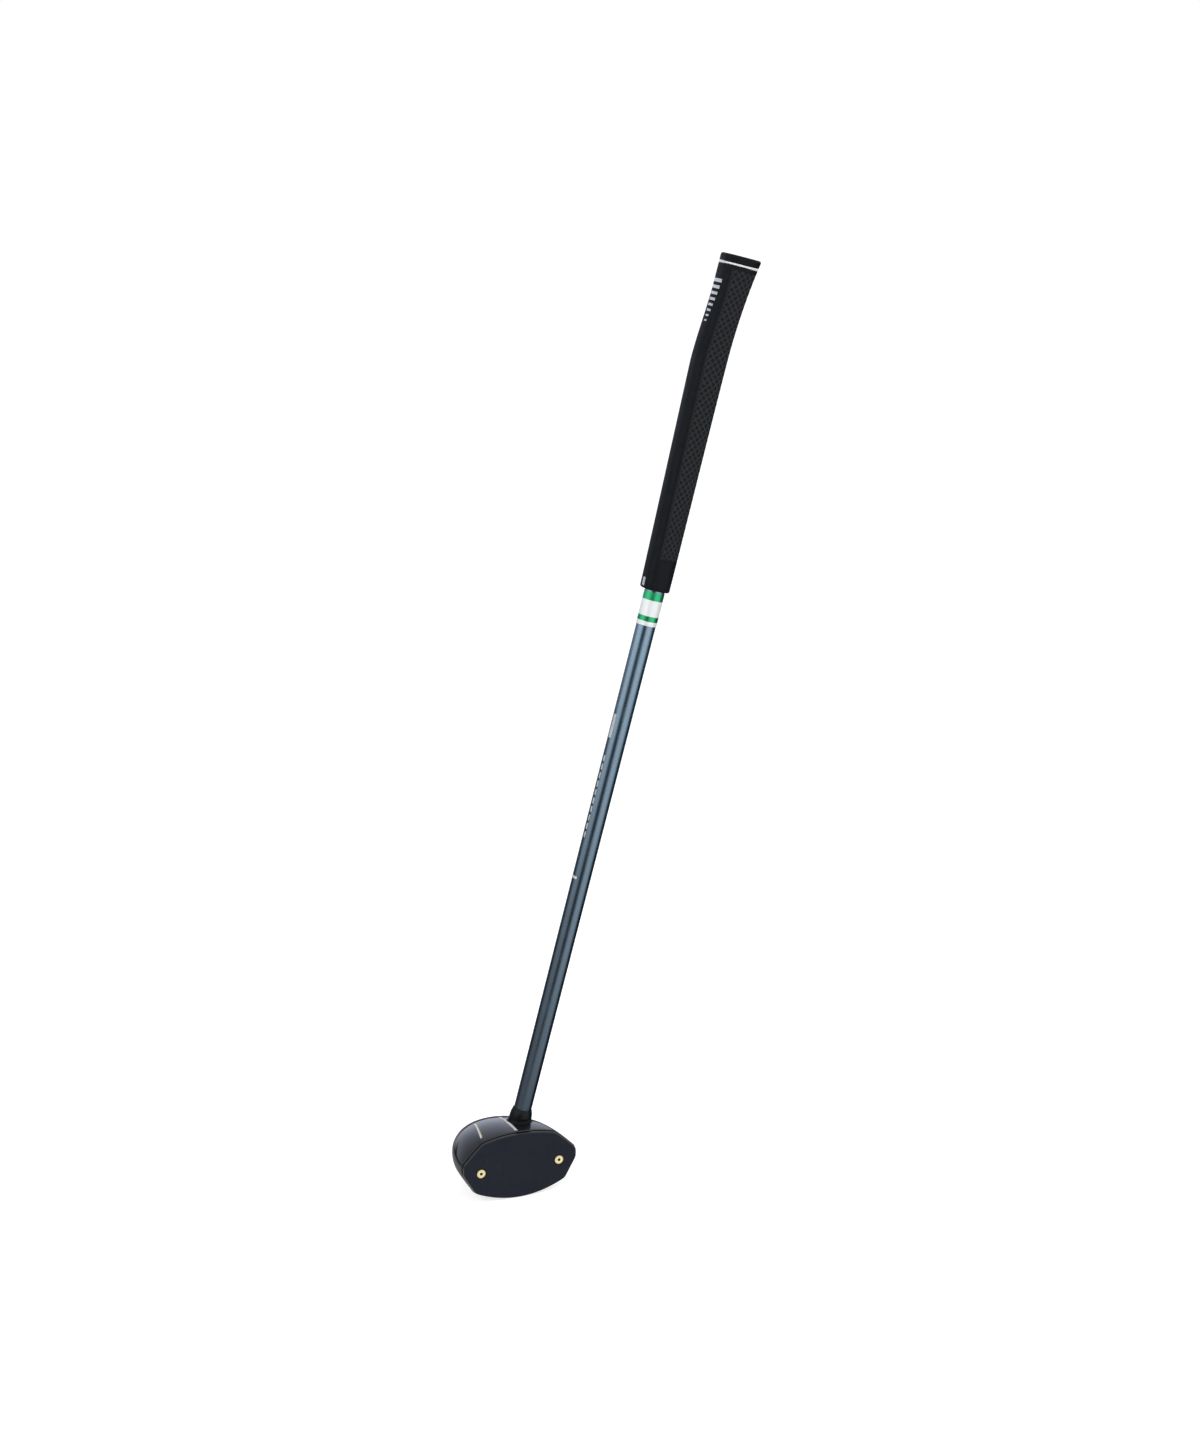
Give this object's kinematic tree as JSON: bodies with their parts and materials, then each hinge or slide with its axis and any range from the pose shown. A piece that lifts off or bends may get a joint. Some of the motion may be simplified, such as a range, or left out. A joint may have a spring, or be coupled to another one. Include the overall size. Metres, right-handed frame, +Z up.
{
  "type": "park golf club",
  "caption": "One-piece park golf club: a black lacquered wooden head with a flat screwed face plate, a tapered tube shaft with a label band, and a pistol-shaped rubber grip.",
  "frame": {"origin": "on the small flat ground on the sole, where the upright plane that holds the shaft axis crosses it, midway across the face", "axes": "+Z up at address, -Y the way the ball is struck and the face's outward normal, +X toward the heel and the player, -X toward the toe; the shaft leans 15.87 degrees from +Z toward +X"},
  "size_m": [0.2996, 0.076, 0.8203],
  "materials": {
    "head_lacquer": "gloss black lacquer over maple",
    "backing_sheet": "matte black",
    "face_plate": "satin blue-black laminate",
    "screw_brass": "bright brass",
    "weight_brass": "turned brass",
    "ferrule": "satin black",
    "shaft_paint": "blue-grey metallic paint over carbon tube",
    "plug": "matte",
    "label_band": "metallised film with plain green and silver stripes",
    "grip_tape": "paper tape",
    "grip_rubber": "matte black with a fine diamond texture",
    "cap_ring": "satin white",
    "cap_rubber": "matte black",
    "sight_enamel": "gloss white enamel lines on the crown",
    "sight_gold": "gold enamel line on the crown",
    "accent_silver": "silver paint trim on shaft and grip"
  },
  "bodies": {
    "root": {"head_body": "head_lacquer", "backing_sheet": "backing_sheet", "face_plate": "face_plate", "face_screw_toe": "screw_brass", "face_screw_heel": "screw_brass", "head_weight": "weight_brass", "ferrule": "ferrule", "shaft": "shaft_paint", "shaft_tip_plug": "plug", "label_band": "label_band", "grip_tape": "grip_tape", "grip_sleeve": "grip_rubber", "cap_ring": "cap_ring", "grip_cap": "cap_rubber"}
  },
  "joints": []
}
